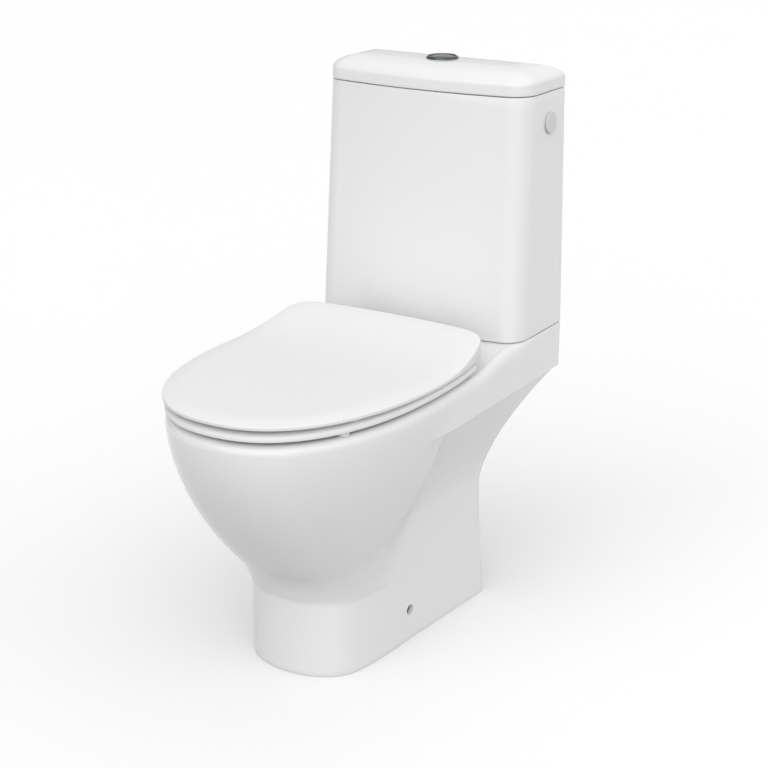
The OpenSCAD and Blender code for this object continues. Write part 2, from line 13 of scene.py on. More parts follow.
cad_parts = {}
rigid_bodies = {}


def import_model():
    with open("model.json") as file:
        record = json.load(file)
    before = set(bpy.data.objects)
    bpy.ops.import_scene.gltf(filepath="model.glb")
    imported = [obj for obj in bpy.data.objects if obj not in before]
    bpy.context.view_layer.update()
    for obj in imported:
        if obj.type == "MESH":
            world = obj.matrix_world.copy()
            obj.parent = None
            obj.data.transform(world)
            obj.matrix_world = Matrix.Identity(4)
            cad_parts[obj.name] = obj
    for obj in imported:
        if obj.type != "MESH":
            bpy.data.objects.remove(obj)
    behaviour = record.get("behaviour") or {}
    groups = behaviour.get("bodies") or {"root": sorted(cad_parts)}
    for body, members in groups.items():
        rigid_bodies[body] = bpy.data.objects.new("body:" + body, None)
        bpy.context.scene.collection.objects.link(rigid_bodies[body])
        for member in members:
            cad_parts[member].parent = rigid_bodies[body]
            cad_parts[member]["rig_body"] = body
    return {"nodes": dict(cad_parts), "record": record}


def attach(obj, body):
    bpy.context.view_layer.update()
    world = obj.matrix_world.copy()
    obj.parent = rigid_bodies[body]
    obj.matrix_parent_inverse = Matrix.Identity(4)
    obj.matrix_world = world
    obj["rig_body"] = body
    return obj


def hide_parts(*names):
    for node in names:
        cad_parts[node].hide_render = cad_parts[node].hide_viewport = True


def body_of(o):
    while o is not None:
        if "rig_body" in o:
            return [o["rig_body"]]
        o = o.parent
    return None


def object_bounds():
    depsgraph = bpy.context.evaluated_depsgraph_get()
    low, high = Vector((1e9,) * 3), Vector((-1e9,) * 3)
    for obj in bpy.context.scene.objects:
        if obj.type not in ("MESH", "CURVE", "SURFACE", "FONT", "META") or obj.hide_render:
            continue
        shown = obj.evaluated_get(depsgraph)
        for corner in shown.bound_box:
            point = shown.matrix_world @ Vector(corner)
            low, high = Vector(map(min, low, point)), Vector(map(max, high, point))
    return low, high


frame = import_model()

cad_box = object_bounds()
NODES = frame["nodes"]
# Shapes are worked out in millimetres from the wall plane: y = 0 at the wall, the front at -y.
WALL = 1000 * cad_box[1].y

# Heights of the pan: where the foot starts to widen, underside of the deck, rim, deck
FOOT_TOP, SLAB, RIM, DECK = 115.0, 352.0, 406.0, 420.0
TANK_Z, TANK_TOP = DECK + 0.6, 778.0
# Places that more than one piece shares
OUTLET_Z = 180
FLUSH_Y = -78
INLET_X, INLET_Y = -112, -60
BOLT_X, BOLT_Y = 72, -80
HINGE_X, HINGE_Y, HINGE_Z = 77.5, -228, 434
HINGE_PIN_R = 4.08
CAP_Y, CAP_Z = -50, 734
BUTTON_Y = -66


# ---- small helpers ---------------------------------------------------------------------

def clamp(t):
    return np.clip(t, 0.0, 1.0)


def mix(a, b, t):
    return a + (b - a) * t


def smooth(t):
    u = clamp(t)
    return u * u * (3 - 2 * u)


def settings(node, **inputs):
    """Sets values straight on a node's sockets."""
    for key, value in inputs.items():
        node.inputs[key.replace("_", " ")].default_value = value
    return node


def piece(name, verts, faces, node, slot, material, sharp=35):
    """A new piece that stands for a CAD node and moves with that node's body."""
    mesh = bpy.data.meshes.new(name)
    mesh.from_pydata(((np.asarray(verts, float) + [0, WALL, 0]) / 1000).tolist(), [], faces)
    mesh.validate()
    tidy(mesh)
    obj = bpy.data.objects.new(name, mesh)
    bpy.context.scene.collection.objects.link(obj)
    finish_piece(obj, node, material, sharp)
    return obj


def tidy(mesh):
    """Joins doubled points and turns every face outwards."""
    bm = bmesh.new()
    bm.from_mesh(mesh)
    bmesh.ops.remove_doubles(bm, verts=bm.verts, dist=1e-6)
    bmesh.ops.recalc_face_normals(bm, faces=bm.faces)
    bm.to_mesh(mesh)
    bm.free()


def shade(obj, sharp):
    """Smooth shading, with edges steeper than an angle in degrees left sharp."""
    obj.data.shade_smooth()
    obj.data.set_sharp_from_angle(angle=math.radians(sharp))


def finish_piece(obj, node, material, sharp):
    obj.data.materials.clear()
    obj.data.materials.append(material)
    shade(obj, sharp)
    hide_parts(node)
    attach(obj, body_of(NODES[node])[0])


def grid_faces(rows, columns, closed=True):
    """Quads between rows of points, every row with the same number of columns."""
    faces = []
    for i in range(rows - 1):
        for j in range(columns if closed else columns - 1):
            k = (j + 1) % columns
            faces.append((i * columns + j, i * columns + k, (i + 1) * columns + k,
                          (i + 1) * columns + j))
    return faces


def loft(rings, cap_first=True, cap_last=True):
    """A closed skin through rings, each an array of points."""
    n = len(rings[0])
    faces = grid_faces(len(rings), n)
    if cap_first:
        faces.append(tuple(reversed(range(n))))
    if cap_last:
        faces.append(tuple(range((len(rings) - 1) * n, len(rings) * n)))
    return np.concatenate(rings), faces


def at_height(outline, z):
    """An outline in the plane, as points at one height or at a height each."""
    return np.column_stack([outline[:, 0], outline[:, 1], np.broadcast_to(z, len(outline))])


def lathe(profile, centre, axis, steps=96):
    """A body of revolution from (radius, height) pairs about an axis through a centre."""
    side = {"z": ((1, 0, 0), (0, 1, 0), (0, 0, 1)), "x": ((0, 1, 0), (0, 0, 1), (1, 0, 0)),
            "y": ((0, 0, 1), (1, 0, 0), (0, 1, 0))}[axis]
    u, v, w = (np.array(s, float) for s in side)
    turn = np.linspace(0, 2 * math.pi, steps, endpoint=False)[:, None]
    rings = [np.array(centre) + r * (np.cos(turn) * u + np.sin(turn) * v) + h * w
             for r, h in profile]
    return loft(rings)


def box_mesh(lo, hi):
    x0, y0, z0 = lo
    x1, y1, z1 = hi
    verts = [(x, y, z) for z in (z0, z1) for x, y in ((x0, y0), (x1, y0), (x1, y1), (x0, y1))]
    return np.array(verts, float), grid_faces(2, 4) + [(3, 2, 1, 0), (4, 5, 6, 7)]


def prism(outline, z0, z1):
    outline = np.array(outline, float)
    return loft([at_height(outline, z0), at_height(outline, z1)])


def hole(r, centre, start, end, axis="z", steps=32):
    """A cylinder to cut away, from start to end along an axis through a centre."""
    return lathe([(r, start), (r, end)], centre, axis, steps)


def quarter(steps):
    """Angles of a quarter turn, for rounding an edge."""
    return np.linspace(0, math.pi / 2, steps)


def mirrored(half):
    """A closed ring from its right half, which starts and ends on the middle plane."""
    flip = [-1] + [1] * (half.shape[1] - 1)
    return np.concatenate([half, (half * flip)[-2:0:-1]])


def cut(obj, shapes, operation="DIFFERENCE"):
    """Takes the shapes away from a piece, or joins them to it, and keeps the result."""
    for verts, faces in shapes:
        mesh = bpy.data.meshes.new("cutter")
        mesh.from_pydata(((np.asarray(verts) + [0, WALL, 0]) / 1000).tolist(), [], faces)
        tidy(mesh)
        tool = bpy.data.objects.new("cutter", mesh)
        bpy.context.scene.collection.objects.link(tool)
        modifier = obj.modifiers.new("cut", "BOOLEAN")
        modifier.operation = operation
        modifier.solver = "EXACT"
        modifier.object = tool
        depsgraph = bpy.context.evaluated_depsgraph_get()
        result = bpy.data.meshes.new_from_object(obj.evaluated_get(depsgraph))
        obj.modifiers.remove(modifier)
        old, obj.data = obj.data, result
        bpy.data.meshes.remove(old)
        bpy.data.objects.remove(tool)
        bpy.data.meshes.remove(mesh)


# ---- materials -------------------------------------------------------------------------

def material(name, color, rough, metal=0.0, coat=0.0, coat_rough=0.05, ior=1.5, tint=0.012,
             rough_var=0.03, scale=60.0, bump=0.02, bump_scale=400.0, stretch=(1, 1, 1)):
    """A procedural finish: slight colour drift, uneven gloss and a fine surface bump."""
    mat = bpy.data.materials.new(name)
    mat.use_nodes = True
    nodes, links = mat.node_tree.nodes, mat.node_tree.links
    shader = nodes["Principled BSDF"]
    settings(shader, Metallic=metal, IOR=ior, Coat_Weight=coat, Coat_Roughness=coat_rough)
    place = nodes.new("ShaderNodeTexCoord")
    warp = settings(nodes.new("ShaderNodeMapping"), Scale=stretch)
    links.new(place.outputs["Object"], warp.inputs["Vector"])

    def noise(size, detail=3.0):
        tex = settings(nodes.new("ShaderNodeTexNoise"), Scale=size, Detail=detail)
        links.new(warp.outputs["Vector"], tex.inputs["Vector"])
        return tex.outputs["Fac"]

    ramp = nodes.new("ShaderNodeValToRGB")
    for stop, sign in zip(ramp.color_ramp.elements, (-1, 1)):
        stop.color = [*(min(1, max(0, c + sign * tint)) for c in color), 1]
    ramp.color_ramp.elements[0].position = 0.3
    ramp.color_ramp.elements[1].position = 0.7
    links.new(noise(scale / 8), ramp.inputs["Fac"])
    links.new(ramp.outputs["Color"], shader.inputs["Base Color"])
    spread = settings(nodes.new("ShaderNodeMapRange"), From_Min=0.3, From_Max=0.7,
                      To_Min=max(0.02, rough - rough_var), To_Max=rough + rough_var)
    links.new(noise(scale), spread.inputs["Value"])
    links.new(spread.outputs["Result"], shader.inputs["Roughness"])
    height = settings(nodes.new("ShaderNodeBump"), Strength=bump, Distance=0.0004)
    links.new(noise(bump_scale, 4.0), height.inputs["Height"])
    links.new(height.outputs["Normal"], shader.inputs["Normal"])
    return mat


WHITE = (0.80, 0.803, 0.803)
CHINA = material("glazed_china", WHITE, 0.13, coat=0.2, tint=0.004, rough_var=0.02, scale=24,
                 bump=0.035, bump_scale=70)
SEAT = material("seat_thermoset", WHITE, 0.42, ior=1.33, tint=0.003, rough_var=0.02, scale=40,
                bump=0.02, bump_scale=160)
# The chrome's base colour is kept dark: painted shade standing in for dark surroundings in its
# reflection, where real chrome is bright
CHROME = material("chrome_plate", (0.115, 0.12, 0.126), 0.12, metal=1.0, tint=0.01, rough_var=0.03,
                  scale=500, bump=0.02, bump_scale=1200)
CAP = material("cap_plastic", (0.66, 0.66, 0.67), 0.32, tint=0.006, scale=300, bump=0.05,
               bump_scale=2500)
# The finish of each material slot, of the pieces made here and of those carried over
FINISHES = {
    "valve_plastic": material("valve_plastic", (0.74, 0.75, 0.76), 0.42, tint=0.015, bump=0.08,
                              bump_scale=1800),
    "blue_plastic": material("blue_plastic", (0.10, 0.23, 0.48), 0.38, tint=0.02, bump=0.08,
                             bump_scale=1800),
    "white_nylon": material("white_nylon", (0.76, 0.76, 0.73), 0.45, tint=0.012, bump=0.1,
                            bump_scale=1500),
    "buffer_plastic": material("buffer_plastic", (0.70, 0.70, 0.69), 0.5, tint=0.015, bump=0.1,
                               bump_scale=1500),
    "damper_plastic": material("damper_plastic", (0.05, 0.05, 0.055), 0.45, tint=0.01, bump=0.1,
                               bump_scale=2200),
    "seal_rubber": material("seal_rubber", (0.022, 0.022, 0.024), 0.7, tint=0.006, bump=0.25,
                            bump_scale=2600),
    # Darker than plated steel really is: painted shade standing in for the shade in the screw
    # heads' recesses
    "plated_steel": material("plated_steel", (0.17, 0.17, 0.175), 0.3, metal=1.0, tint=0.03,
                             rough_var=0.08, scale=900, bump=0.1, bump_scale=1600,
                             stretch=(1, 1, 0.1)),
    "hinge_metal": material("hinge_metal", (0.62, 0.62, 0.62), 0.28, metal=1.0, tint=0.02,
                            rough_var=0.07, scale=900, bump=0.08, bump_scale=1600,
                            stretch=(0.1, 1, 1)),
    "glazed_china": CHINA, "seat_thermoset": SEAT, "chrome_plate": CHROME, "cap_plastic": CAP,
}
slots = {s["node"]: s["material_slot"] for s in frame["record"]["subparts"]}
for node, obj in NODES.items():
    for i in range(len(obj.material_slots)):
        obj.material_slots[i].material = FINISHES[slots[node]]

# ---- pan -------------------------------------------------------------------------------

POWER = 2.26            # exponent of the rounded sections
HALF_RIM = 177.0        # half the rim's width
HUB_Y = -330.0          # the outside is worked out by direction from here
BASIN_Y, SUMP = -398.0, 96.0
SUMP_Y = -372.0
NOSE_Y = -345.0         # where the foot's straight sides turn into its nose
FLARE_Z = 195.0         # where the foot starts to spread into the deck
MOUTH_R = 9.0           # rounding of the basin's mouth
PAN_SHARP = 40


def swell(z):
    """How far the bowl has opened out, from 0 at the foot to 1 near the rim."""
    return clamp((z - FOOT_TOP) / (RIM - 6 - FOOT_TOP))


def flare(z):
    """How far the foot has spread into the deck, from 0 to 1 at the deck's underside."""
    return clamp((z - FLARE_Z) / (SLAB - FLARE_Z)) ** 1.7


def skirt_rear(z):
    """Where the foot's back edge stands."""
    return -124 - 14 * clamp(z / 160) + 138 * flare(z)


def skirt_half(y, z):
    """Half width of the foot, eased where the straight sides turn into the nose."""
    t, ease = (y - NOSE_Y) / 221, 0.2
    spread = np.maximum(t, 0) + np.maximum(ease - np.abs(t), 0) ** 2 / (4 * ease)
    return mix(mix(200, 235, np.minimum(spread, 1)) / 2, HALF_RIM - 4, flare(z))


def bowl_level(x, y, z):
    """Below zero inside the bowl's outside skin, above zero outside it."""
    t = swell(z)
    u = t * t / (t + 0.04)
    half = mix(78, HALF_RIM + 1, 1 - (1 - t) ** 1.5)
    tip = mix(-481, -654, 1 - (1 - u) ** 1.95)
    centre = -362 - 0.276 * (RIM - 6 - np.maximum(z, FOOT_TOP))
    back = mix(90, 140, smooth((z - 180) / 70))
    length = np.where(y < centre, centre - tip, back)
    return ((np.abs(x) / half) ** POWER
            + (np.abs(y - centre) / length) ** POWER) ** (1 / POWER) - 1


def skirt_level(x, y, z):
    """The same for the sides and nose of the foot."""
    half = skirt_half(y, z) + np.where(z > SLAB, 4 * smooth((y + 374) / 50), 0)
    nose = np.maximum(0, NOSE_Y - y) / 147
    return ((np.abs(x) / half) ** POWER + nose ** POWER) ** (1 / POWER) - 1


def distance(level, x, y, z, h=0.5):
    """Turns a level function into a distance that is right near its zero."""
    gx = level(x + h, y, z) - level(x - h, y, z)
    gy = level(x, y + h, z) - level(x, y - h, z)
    gz = level(x, y, z + h) - level(x, y, z - h)
    return level(x, y, z) * 2 * h / np.sqrt(gx * gx + gy * gy + gz * gz + 1e-18)


def inside_corner(a, b, r):
    """Both solids, blended over a width r where they meet."""
    return np.minimum(a, b) - np.maximum(r - np.abs(a - b), 0) ** 2 / (4 * r)


def outside_corner(a, b, r):
    """What two solids share, with their common edge rounded to radius r."""
    return (np.minimum(-r, np.maximum(a, b))
            + np.hypot(np.maximum(0, r + a), np.maximum(0, r + b)))


def skirt(x, y, z):
    lean = skirt_rear(z + 0.5) - skirt_rear(z - 0.5)
    rear = (y - skirt_rear(z)) / np.sqrt(1 + lean * lean)
    return outside_corner(distance(skirt_level, x, y, z), rear, 3.5)


def bowl(x, y, z):
    return distance(bowl_level, x, y, z)


def pan_skin(x, y, z):
    blend = np.where(z > SLAB, 8, mix(5, 36, smooth((330 - z) / 190)))
    return inside_corner(bowl(x, y, z), skirt(x, y, z), blend)


def reach(field, angle, z, steps=22):
    """How far a field's skin is from the hub in each direction, by halving."""
    shape = np.broadcast(angle, z).shape
    lo, hi = np.full(shape, 5.0), np.full(shape, 420.0)
    for _ in range(steps):
        r = (lo + hi) / 2
        within = field(r * np.cos(angle), HUB_Y + r * np.sin(angle), z) < 0
        lo, hi = np.where(within, r, lo), np.where(within, hi, r)
    return (lo + hi) / 2


# Columns of the pan's skin along the front and side, round the rear corner, and on the back
FRONT, CORNER, REAR = 160, 9, 18


def column_angle(k, z):
    """Direction of column k (front to back on the right) at one height."""
    rear = skirt_rear(z)
    corner = np.arctan2(rear - HUB_Y, skirt_half(rear, z))
    spread = 0.05
    front = mix(-math.pi / 2, corner - spread, clamp(k / FRONT))
    turn = 2 * spread * clamp((k - FRONT) / CORNER)
    return np.where(k <= FRONT + CORNER, front + turn,
                    mix(corner + spread, math.pi / 2, (k - FRONT - CORNER) / REAR))


def deck_height(x, y):
    """The top face: level round the bowl, rising to the cistern, more gently along the sides."""
    side = smooth((np.abs(x) - 95) / 60)
    return RIM + (DECK - RIM) * smooth((y + mix(205, 262, side)) / mix(37, 112, side))


def pan_outside(k):
    """Rings of the right half of the outside, from the floor to the rounded edge of the deck."""
    # Deck height, and how far the top edge is rounded, along the outside
    below_rim = np.full(k.shape, RIM - 10.0)
    a = column_angle(k, below_rim)
    edge = reach(pan_skin, a, below_rim)
    edge_x, edge_y = edge * np.cos(a), HUB_Y + edge * np.sin(a)
    top = deck_height(edge_x, edge_y)
    radius = mix(1.5, 13, smooth((-85 - edge_y) / 60)) + 5 * np.exp(-((edge_y + 140) / 35) ** 2)

    level = 0 * k
    heights = np.concatenate([np.linspace(0, 120, 30), np.linspace(120, SLAB - 4, 84)[1:],
                              SLAB - np.array([3, 2.2, 1.6, 1.1, 0.6, 0])])
    rows = [(z + level, level) for z in heights]
    rows += [(mix(SLAB + 0.02, top - radius, t ** 1.3), level) for t in np.linspace(0, 1, 22)]
    rows += [(top - radius + radius * np.sin(t), radius * (1 - np.cos(t))) for t in quarter(9)[1:]]
    rings = []
    for z, inset in rows:
        a = column_angle(k, z)
        r = reach(pan_skin, a, z) - inset
        foot_edge = 1.2 * clamp(1 - z / 2.5) ** 2
        groove = (2.6 * np.exp(-((z - SLAB + 1.1) / 0.7) ** 2)
                  * smooth((HUB_Y + r * np.sin(a) + 372) / 30) * (z <= SLAB))
        r = r - foot_edge - groove
        rings.append(np.column_stack([r * np.cos(a), HUB_Y + r * np.sin(a), z]))
    rings[0][:, 2] = 0
    return rings


def basin_point(direction, t, grow=0.0):
    """The basin's wall in one direction, from t = 0 at its bottom to 1 at its mouth."""
    q = 1 - (1 - t) ** 2.3
    half, centre = mix(34, 138, q) + grow, mix(SUMP_Y, BASIN_Y, q)
    length = np.where(np.sin(direction) > 0, mix(34, 130, q), mix(34, 220, q)) + grow
    r = ((np.abs(np.cos(direction)) / half) ** POWER
         + (np.abs(np.sin(direction)) / length) ** POWER) ** (-1 / POWER)
    return r * np.cos(direction), centre + r * np.sin(direction)


def pan_inside(outer):
    """Rings across the top face, round the basin's mouth and down to its bottom."""
    rings = []
    direction = np.arctan2(outer[:, 1] - BASIN_Y, outer[:, 0])
    flat = np.ones(len(outer))
    mx, my = basin_point(direction, 1.0, MOUTH_R)
    for t in np.linspace(0, 1, 46)[1:]:
        x, y = mix(outer[:, 0], mx, t), mix(outer[:, 1], my, t)
        z = np.minimum(outer[:, 2], deck_height(x, y))
        rings.append(np.column_stack([x, y, z]))
    for t in quarter(7)[1:]:
        x, y = basin_point(direction, 1.0, MOUTH_R * (1 - math.sin(t)))
        rings.append(np.column_stack([x, y, flat * (RIM - MOUTH_R * (1 - math.cos(t)))]))
    first = 1 - (MOUTH_R / (RIM - SUMP))
    for t in np.linspace(first, 0, 36)[1:]:
        x, y = basin_point(direction, t)
        rings.append(np.column_stack([x, y, flat * mix(SUMP, RIM, t)]))
    x, y = basin_point(direction, 0.0)
    for share, drop in ((0.8, 2.5), (0.5, 4.5), (0.2, 5)):
        rings.append(np.column_stack([x * share, SUMP_Y + (y - SUMP_Y) * share,
                                      flat * (SUMP - drop)]))
    return rings


def side_space(sign):
    """The hollow of the foot on one side, open to the floor and to the back."""
    inner, rear, wall = 46, 5, 13
    sections = []
    for z in (-7, 100, 139, 150, 180, 205, 225, 240, 255, 270, 285, 300, 315, 325, 335):
        front = np.interp(z, (139, 150, 236, 335), (-298, -266, -266, -250))
        out = skirt_half(-130.0, z) - wall
        pts = [(inner, front), (out - 14, front), (out, -140), (out, rear), (inner, rear)]
        sections.append(at_height(np.array(pts) * [sign, 1], z))
    return loft(sections)


def pan_spaces(base):
    """Everything hollow under the pan; base is its outline on the floor."""
    inner = base.copy()
    away = inner[:, :2] - [0, HUB_Y]
    inner[:, :2] -= away * (12 / np.linalg.norm(away, axis=1))[:, None]
    spaces = [prism(inner[inner[:, 1] < -200][:, :2], -5, 62),
              prism([(-90, -300), (90, -300), (104, -120), (-104, -120)], -6, 62.5)]
    for sign in (1, -1):
        spaces += [side_space(sign),
                   box_mesh((min(sign * 60, sign * 155), -250, 334),
                            (max(sign * 60, sign * 155), -12, 392))]
    return spaces


def waste_spigot():
    """The outlet at the back: a flange, then a pipe with four grip ribs."""
    pipe_r, groove_r = 51, 50
    profile = [(60, 0), (60, 33), (58, 36.5), (pipe_r, 38)]
    for h in (46, 55, 64, 73):
        profile += [(pipe_r, h), (groove_r, h + 1.2), (groove_r, h + 3.2), (pipe_r, h + 4.4)]
    profile += [(pipe_r, 88.8), (49.8, 90)]
    return lathe(profile, (0, -150, OUTLET_Z), "y", 128)


def build_pan():
    k = np.arange(FRONT + CORNER + REAR + 1, dtype=float)
    rings = pan_outside(k)
    rings += pan_inside(rings[-1])
    full = [mirrored(r) for r in rings]
    verts, faces = loft(full)
    pan = piece("pan_china", verts, faces, "toilet_pan", "glazed_china", CHINA, sharp=PAN_SHARP)
    cut(pan, pan_spaces(full[0]))
    cut(pan, [waste_spigot()], "UNION")
    trap = np.array([(-372, 140), (-350, 118), (-322, 110), (-292, 118), (-268, 145), (-252, 180),
                     (-234, 215), (-208, 234), (-182, 226), (-164, 204), (-146, 186), (-128, 180)])
    duct = np.array([(-78, 396), (-79, 378), (-86, 358), (-106, 344), (-140, 339), (-200, 338),
                     (-284, 338)])
    cut(pan, [passage(trap, 37), passage(duct, 26),
              hole(43, (0, -134, OUTLET_Z), 0, 75, "y", 96),
              hole(50, (0, FLUSH_Y, 0), 394, 425, steps=96),
              hole(28, (0, FLUSH_Y, 0), 372, 410, steps=64),
              hole(21, (INLET_X, INLET_Y, 0), 350, 430, steps=48)]
        + [hole(6.5, (s * BOLT_X, BOLT_Y, 0), 350, 430) for s in (1, -1)]
        + [hole(7, (s * HINGE_X, HINGE_Y, 0), 380, 420) for s in (1, -1)]
        + [hole(8, (0, -321, 49), -120, 120, "x", 48)])
    shade(pan, PAN_SHARP)


def passage(path, r, sides=40, fine=6):
    """A round tube through points of the middle plane, smoothed along its length."""
    t = np.arange(len(path), dtype=float)
    dense = np.linspace(0, len(path) - 1, (len(path) - 1) * fine + 1)
    path = np.column_stack([np.interp(dense, t, path[:, 0]), np.interp(dense, t, path[:, 1])])
    for _ in range(6):
        path[1:-1] = (path[:-2] + 2 * path[1:-1] + path[2:]) / 4
    slope = np.gradient(path, axis=0)
    slope /= np.linalg.norm(slope, axis=1)[:, None]
    turn = np.linspace(0, 2 * math.pi, sides, endpoint=False)
    rings = [np.column_stack([r * np.cos(turn), p[0] - d[1] * r * np.sin(turn),
                              p[1] + d[0] * r * np.sin(turn)]) for p, d in zip(path, slope)]
    return loft(rings)


build_pan()

# ---- cistern and its lid ---------------------------------------------------------------

def cistern_outline(width, depth, radius, bow, inset=0.0, back=0.0, steps=24):
    """Square at the wall with small corners, two round front corners and a bowed front."""
    bowed_half = width / 2 - radius
    radius = max(3.0, radius - inset)
    half = width / 2 - inset
    bow *= ((half - radius) / bowed_half) ** 2
    cx, cy = half - radius, radius + bow - (depth - inset)
    small = 4.0
    right = [(half, y) for y in np.linspace(cy, -small - back, 8)[1:]]
    right += [(half - small + small * math.cos(t), -back - small + small * math.sin(t))
              for t in np.linspace(0, math.pi / 2, 6)[1:]]
    corner = [(cx + radius * math.cos(t), cy + radius * math.sin(t))
              for t in np.linspace(-math.pi / 2, 0, steps + 1)]
    front = [(x, -(depth - inset) + bow * (x / cx) ** 2) for x in np.linspace(0, cx, 30)[:-1]]
    half_line = np.array(front + corner + right)
    # Soften the change from the bowed front to the corner
    for _ in range(3):
        s = half_line[24:36]
        s[1:-1] = (s[:-2] + 2 * s[1:-1] + s[2:]) / 4
    back_line = np.array([(x, -back) for x in np.linspace(half - small, 0, 9)[1:]])
    return mirrored(np.concatenate([half_line, back_line]))


CORNER_R, BOW = 38, 11
CISTERN_SHARP = 38


def tank_ring(z, inset=0.0, back=0.0):
    t = (z - DECK) / (TANK_TOP - DECK)
    outline = cistern_outline(mix(353, 340, t), mix(159, 139, t), CORNER_R, BOW, inset, back)
    return at_height(outline, z)


def build_tank():
    base_r, lip_r, wall, floor_z, floor_r = 4, 1.5, 10, 445, 11.5
    rings = [tank_ring(TANK_Z + base_r * (1 - math.cos(t)), base_r * (1 - math.sin(t)))
             for t in quarter(6)]
    rings += [tank_ring(z) for z in np.linspace(TANK_Z + base_r, TANK_TOP - lip_r, 26)[1:]]
    rings += [tank_ring(TANK_TOP - lip_r + lip_r * math.sin(t), lip_r * (1 - math.cos(t)))
              for t in quarter(4)[1:]]
    rings += [tank_ring(z, wall, wall) for z in np.linspace(TANK_TOP, floor_z, 20)]
    for t in quarter(6)[1:]:
        inset = wall + floor_r * (1 - math.cos(t))
        rings.append(tank_ring(floor_z - floor_r * math.sin(t), inset, inset))
    verts, faces = loft(rings)
    tank = piece("cistern_china", verts, faces, "cistern_tank", "glazed_china", CHINA,
                 sharp=CISTERN_SHARP)
    cut(tank, [hole(32, (0, FLUSH_Y, 0), 415, 440, steps=64),
               hole(11, (INLET_X, INLET_Y, 0), 415, 440, steps=40),
               hole(11, (0, CAP_Y, CAP_Z), 150, 185, "x", 40)]
        + [hole(6.5, (s * BOLT_X, BOLT_Y, 0), 415, 440) for s in (1, -1)])
    shade(tank, CISTERN_SHARP)


def lid_ring(z, inset=0.0, back=0.0):
    return at_height(cistern_outline(340.8, 139.8, CORNER_R + 1, BOW, inset, back), z)


# Bottom of the cistern lid, top of its side, and the flat under its crown
LID_Z, LID_SIDE, LID_TOP = TANK_TOP + 1.5, TANK_TOP + 18.5, TANK_TOP + 32.5


def build_cistern_lid():
    edge_r, dome_start, crown, crown_inset = 1.2, LID_SIDE - 2, 20.5, 62
    rings = [lid_ring(LID_Z + edge_r * (1 - math.cos(t)), edge_r * (1 - math.sin(t)))
             for t in quarter(4)]
    rings += [lid_ring(z) for z in np.linspace(LID_Z + edge_r, dome_start, 5)[1:]]
    for inset in (0.1, 0.35, 0.8, 1.5, 2.5, 4, 6, 8.5, 11.5, 15, 19, 24, 30, 37, 44, 51, 57,
                  crown_inset):
        rise = crown * (1 - (1 - inset / crown_inset) ** 2.6) ** 0.625
        rings.append(lid_ring(dome_start + rise, inset, inset))
    verts, faces = loft(rings)
    lid = piece("cistern_lid_china", verts, faces, "cistern_lid", "glazed_china", CHINA,
                sharp=CISTERN_SHARP)
    lip = [lid_ring(z, 13, 13) for z in (LID_Z - 8, LID_Z + 2)]
    cut(lid, [loft(lip)], "UNION")
    hollow = [lid_ring(LID_Z - 9, 22, 22), lid_ring(LID_SIDE, 22, 22),
              lid_ring(LID_TOP - 6, 34, 34)]
    cut(lid, [loft(hollow),
              hole(21.5, (0, BUTTON_Y, 0), LID_Z - 10, LID_TOP + 20, steps=96)])
    shade(lid, CISTERN_SHARP)


build_tank()
build_cistern_lid()

# ---- flush button, side cap ------------------------------------------------------------

BEZEL_Z = LID_TOP + 4.6
BUTTON_R = 18.4
SPLIT_X = -17           # middle of the arc that splits the button


def button_outline(split_r, full):
    """One half of the button: an arc of the disc and the curved split, corner to corner."""
    corner_x = (BUTTON_R ** 2 - split_r ** 2 + SPLIT_X ** 2) / (2 * SPLIT_X)
    corner = math.atan2(math.sqrt(BUTTON_R ** 2 - corner_x ** 2), corner_x)
    split = math.atan2(BUTTON_R * math.sin(corner), corner_x - SPLIT_X) * (1 if full else -1)
    ends = (-corner, corner) if full else (corner, 2 * math.pi - corner)
    rim = [(BUTTON_R * math.cos(t), BUTTON_R * math.sin(t)) for t in np.linspace(*ends, 72)]
    return np.array(rim + [(SPLIT_X + split_r * math.cos(t), split_r * math.sin(t))
                           for t in np.linspace(split, -split, 48)[1:-1]])


def build_button():
    profile = [(19.3, -1.5), (23.4, -0.3), (24, 0), (24, 0.8), (23.7, 1.6), (23, 2.5), (22.2, 3.2),
               (21.2, 3.6), (20.2, 3.6), (19.5, 3.3), (19.3, 2.6)]
    sides = 128
    turn = np.linspace(0, 2 * math.pi, sides, endpoint=False)[:, None]
    rings = [np.hstack([r * np.cos(turn), BUTTON_Y + r * np.sin(turn),
                        np.full_like(turn, BEZEL_Z + h)]) for r, h in profile]
    verts = np.concatenate(rings + [rings[0]])
    piece("button_rim", verts, grid_faces(len(rings) + 1, sides), "button_bezel", "chrome_plate",
          CHROME, 30)
    # Two domed halves either side of the split
    dome = 1.6
    for name, node, split_r, full in (("full_button", "full_flush_button", 23.4, True),
                                      ("half_button", "half_flush_button", 22.9, False)):
        line = button_outline(split_r, full)
        middle = line.mean(0)
        away = line - middle
        rings = [(line, BEZEL_Z - 4.2), (line, BEZEL_Z + 3.0)]
        for inset, rise in ((0.25, 3.5), (0.7, 3.85), (1.3, 4.0)):
            share = (1 - inset / np.linalg.norm(away, axis=1))[:, None]
            rings.append((middle + away * share, BEZEL_Z + rise))
        for share in (0.8, 0.6, 0.4, 0.2, 0.05):
            rings.append((middle + away * share, BEZEL_Z + 4.0))
        stack = []
        for pts, z in rings:
            out = np.hypot(pts[:, 0], pts[:, 1]) / BUTTON_R
            sag = dome * out ** 2 * (z > BEZEL_Z + 3.2)
            stack.append(np.column_stack([pts[:, 0], pts[:, 1] + BUTTON_Y, z - sag]))
        verts, faces = loft(stack)
        piece(name, verts, faces, node, "chrome_plate", CHROME, 40)


build_button()

